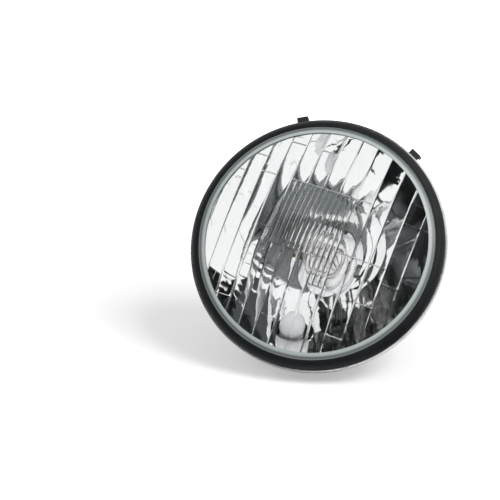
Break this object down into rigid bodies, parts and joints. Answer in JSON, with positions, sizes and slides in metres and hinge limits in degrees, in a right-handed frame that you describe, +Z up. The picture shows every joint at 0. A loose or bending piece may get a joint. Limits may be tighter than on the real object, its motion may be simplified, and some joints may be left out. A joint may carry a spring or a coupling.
{
  "type": "scooter headlight",
  "caption": "Round scooter headlight with a fluted domed lens, black rubber rim gasket, parabolic reflector and a bulb holder with main and pilot bulbs on its back.",
  "frame": {"origin": "on the optical axis, in the front plane of the reflector's flange", "axes": "the lamp shines along -Y, its back is +Y, +Z is up as fitted on the scooter"},
  "size_m": [0.142, 0.0923, 0.142],
  "materials": {
    "lens_glass": "clear pressed glass, faint green tint",
    "gasket_rubber": "soft blue-black rubber",
    "seal": "grey sealant",
    "reflector": "bright mirror inside, silver lacquer outside",
    "black_steel": "black phosphate",
    "zinc_steel": "bright zinc plate",
    "olive_spring": "dark olive spring steel",
    "moulding": "black phenolic moulding",
    "brass": "bright brass",
    "copper": "copper spring strip",
    "tongue": "browned copper",
    "strip": "dull zinc plate",
    "pilot_moulding": "black moulding",
    "rivet": "bright",
    "bulb_base": "nickel-washed brass",
    "bulb_glass": "clear thin glass",
    "filament": "drawn wire",
    "solder": "dull solder"
  },
  "bodies": {
    "root": {"lens": "lens_glass", "rim_gasket": "gasket_rubber", "lens_seal": "seal", "reflector": "reflector", "top_lug_left": "black_steel", "top_lug_right": "black_steel", "adjuster_bracket": "zinc_steel", "adjuster_nut": "zinc_steel", "neck_clip_left": "olive_spring", "neck_clip_right": "olive_spring", "holder_body": "moulding", "holder_ring": "zinc_steel", "ring_rivet_left": "rivet", "ring_rivet_right": "rivet", "main_spring_left": "copper", "main_spring_right": "copper", "main_bulb_base": "bulb_base", "main_bulb_glass": "bulb_glass", "bulb_main_filament": "filament", "bulb_dip_filament": "filament", "main_bulb_contact_left": "solder", "main_bulb_contact_right": "solder", "pilot_bracket": "strip", "pilot_bracket_eyelet": "brass", "pilot_ring": "pilot_moulding", "pilot_contact": "tongue", "pilot_contact_rivet": "rivet", "pilot_bulb_base": "bulb_base", "pilot_bulb_glass": "bulb_glass", "pilot_bulb_filament": "filament", "pilot_bulb_tip": "solder", "eyelet_outer_left": "brass", "terminal_outer_left": "brass", "eyelet_outer_right": "brass", "terminal_outer_right": "brass", "eyelet_inner_left": "brass", "terminal_inner_left": "brass", "eyelet_inner_right": "brass", "terminal_inner_right": "brass"}
  },
  "joints": []
}
